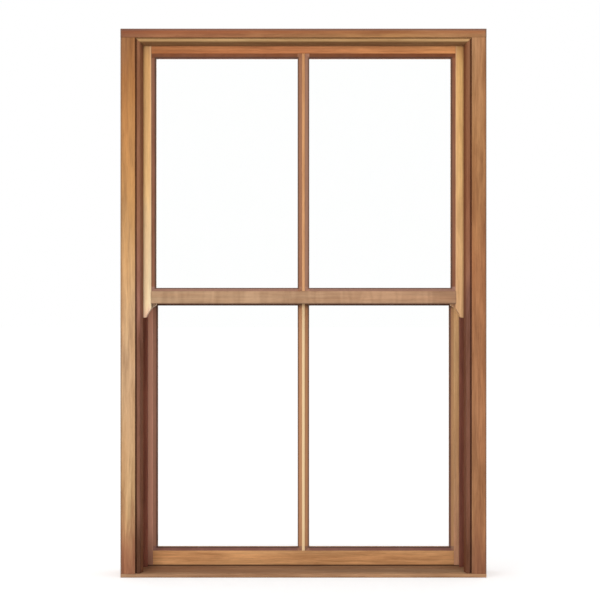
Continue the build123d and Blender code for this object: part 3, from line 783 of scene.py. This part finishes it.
# Painted shadow line where the bottom rail meets the sill
rail_foot_shade = stain_or_painted_light("bottom_rail", ALONG_Z, LOW, foot_shade_band, (92, 56, 32), 0.75)
member("bottom_rail", ALONG_X, even((208, 155, 104), (206, 152, 102)), 25.1, bold_figure, [rail_foot_shade])
bar_stains_and_shade = [
    stain_or_painted_light("lower_glazing_bar", DEPTH, LOW, outer_face_band, (255, 222, 172), 1.0),
    # Painted shadow of the upper meeting rail across the top of the bar
    stain_or_painted_light("upper_meeting_rail", ALONG_Z, LOW, under_rail_shade_band, (140, 96, 60), 0.7),
]
member("lower_glazing_bar", ALONG_Z, even((220, 170, 120), (216, 166, 116)), 26.6, calm_figure, bar_stains_and_shade)
lower_panes = (
    ("left", HIGH, LOW, (176, 126, 104), 27.9),
    ("right", LOW, HIGH, (196, 150, 104), 28.3),
)
for side, bar, far, far_tint, seed in lower_panes:
    node = f"lower_beads_{side}"
    bead_stains_and_shade = [
        stain_or_painted_light(node, ALONG_X, bar, bead_band, (210, 153, 110), 0.85),
        stain_or_painted_light(node, ALONG_X, far, bead_edge_band, far_tint, 0.8),
        stain_or_painted_light(node, ALONG_Z, LOW, bead_band, (128, 94, 90), 0.6),
        stain_or_painted_light(node, ALONG_Z, HIGH, shadow_band, (78, 54, 40), 0.85),
    ]
    bead_set(node, (156, 106, 84), seed, bead_stains_and_shade)

# Glass, metal, nylon and seals
glass = float_glass()
steel = drawn_steel()
brass = satin_brass()
nylon = natural_nylon()
seal = pile_seal()
for sash in sashes:
    for side in sides:
        dress(f"{sash}_glass_{side}", glass)
        dress(f"{sash}_balance_tube_{side}", steel)
        dress(f"{sash}_rod_foot_{side}", steel)
        dress(f"{sash}_balance_bush_{side}", nylon)
for side in sides:
    for fitting in ("lock_receiver", "lock_barrel", "lock_screw", "sash_lift"):
        dress(f"{fitting}_{side}", brass)
dress("balance_springs", steel)
dress("tube_screws", steel)
dress("meeting_rail_seal", seal)
dress("bottom_rail_seal", seal)


def spiral_strip(sash, side):
    """Twisted strip in place of a balance's round rod core."""
    core = f"{sash}_spiral_rod_{side}"
    points, faces = twisted_strip(core)
    strip = skin_object(f"{sash}_twisted_strip_{side}", points, faces, steel, f"{sash}_sash")
    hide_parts(core)


def lift_screws(side):
    """Two slotted heads on the upright plate of a lift."""
    low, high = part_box(f"sash_lift_{side}")
    plate_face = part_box("bottom_rail")[HIGH][DEPTH] + lift_metal
    middle = (low[ALONG_X] + high[ALONG_X]) / 2
    height = high[ALONG_Z] - lift_screw_drop
    room_side = (0, 1, 0)
    for hand, x in (("a", middle - lift_screw_spread), ("b", middle + lift_screw_spread)):
        centre = (x, plate_face, height)
        points, faces = slotted_head(centre, room_side, lift_screw_radius, lift_screw_crown)
        skin_object(f"lift_screw_{side}_{hand}", points, faces, brass, "lower_sash")


for side in sides:
    for sash in sashes:
        spiral_strip(sash, side)
    lift_screws(side)


def seen_rays(tree):
    """1 for rays that show the stage to the eye, straight on, mirrored or through glass."""
    rays = put(tree, "LightPath").outputs
    seen = sums(tree, "ADD", rays["Is Camera Ray"], rays["Is Glossy Ray"])
    return sums(tree, "ADD", seen, rays["Is Transmission Ray"])


# Stage: white floor that keeps the window's shadow, white surroundings, soft light from the front left
ground = solid_box[LOW][ALONG_Z]
corners = [(-floor_reach, -floor_reach, ground), (floor_reach, -floor_reach, ground)]
corners += [(floor_reach, floor_reach, ground), (-floor_reach, floor_reach, ground)]
floor_mesh = bpy.data.meshes.new("floor")
floor_mesh.from_pydata(corners, [], [(0, 1, 2, 3)])
floor = bpy.data.objects.new("floor", floor_mesh)
bpy.context.scene.collection.objects.link(floor)
floor_paint = bpy.data.materials.new("white_floor")
floor_paint.use_nodes = True
tree = floor_paint.node_tree
tree.nodes.clear()
dull = put(tree, "BsdfDiffuse", {"Color": (floor_white, floor_white, floor_white, 1.0)})
lift = spread(tree, seen_rays(tree), 0.0, floor_lift, whole_share)
glow = put(tree, "Emission", {"Color": white, "Strength": lift})
both = put(tree, "AddShader", {0: dull.outputs[0], 1: glow.outputs[0]})
put(tree, "OutputMaterial", {"Surface": both.outputs[0]})
floor_mesh.materials.append(floor_paint)

world = bpy.data.worlds.new("white_studio")
bpy.context.scene.world = world
world.use_nodes = True
tree = world.node_tree
tree.nodes.clear()
strength = spread(tree, seen_rays(tree), world_light, 1.0, whole_share)
sky = put(tree, "Background", {"Color": white, "Strength": strength})
put(tree, "OutputWorld", {"Surface": sky.outputs[0]})

key = bpy.data.lights.new("soft_front_light", "AREA")
key.energy = key_watts
key.size = key_size
key_object = bpy.data.objects.new("soft_front_light", key)
key_object.location = key_place
aim = np.mean(solid_box, axis=0) - np.array(key_place)
turn_side = math.atan2(aim[ALONG_X], aim[DEPTH])
turn_up = math.atan2(aim[ALONG_Z], math.hypot(aim[ALONG_X], aim[DEPTH]))
key_object.rotation_euler = (math.pi / 2 + turn_up, 0, -turn_side)
bpy.context.scene.collection.objects.link(key_object)

eye = bpy.data.cameras.new("camera")
eye.lens = lens_mm
eye.sensor_width = film_mm
camera = bpy.data.objects.new("camera", eye)
camera.location = (camera_offset, solid_box[LOW][DEPTH] - camera_distance, camera_height)
camera.rotation_euler = (math.pi / 2, 0, 0)
bpy.context.scene.collection.objects.link(camera)
bpy.context.scene.camera = camera
bpy.context.scene.view_settings.view_transform = "Standard"
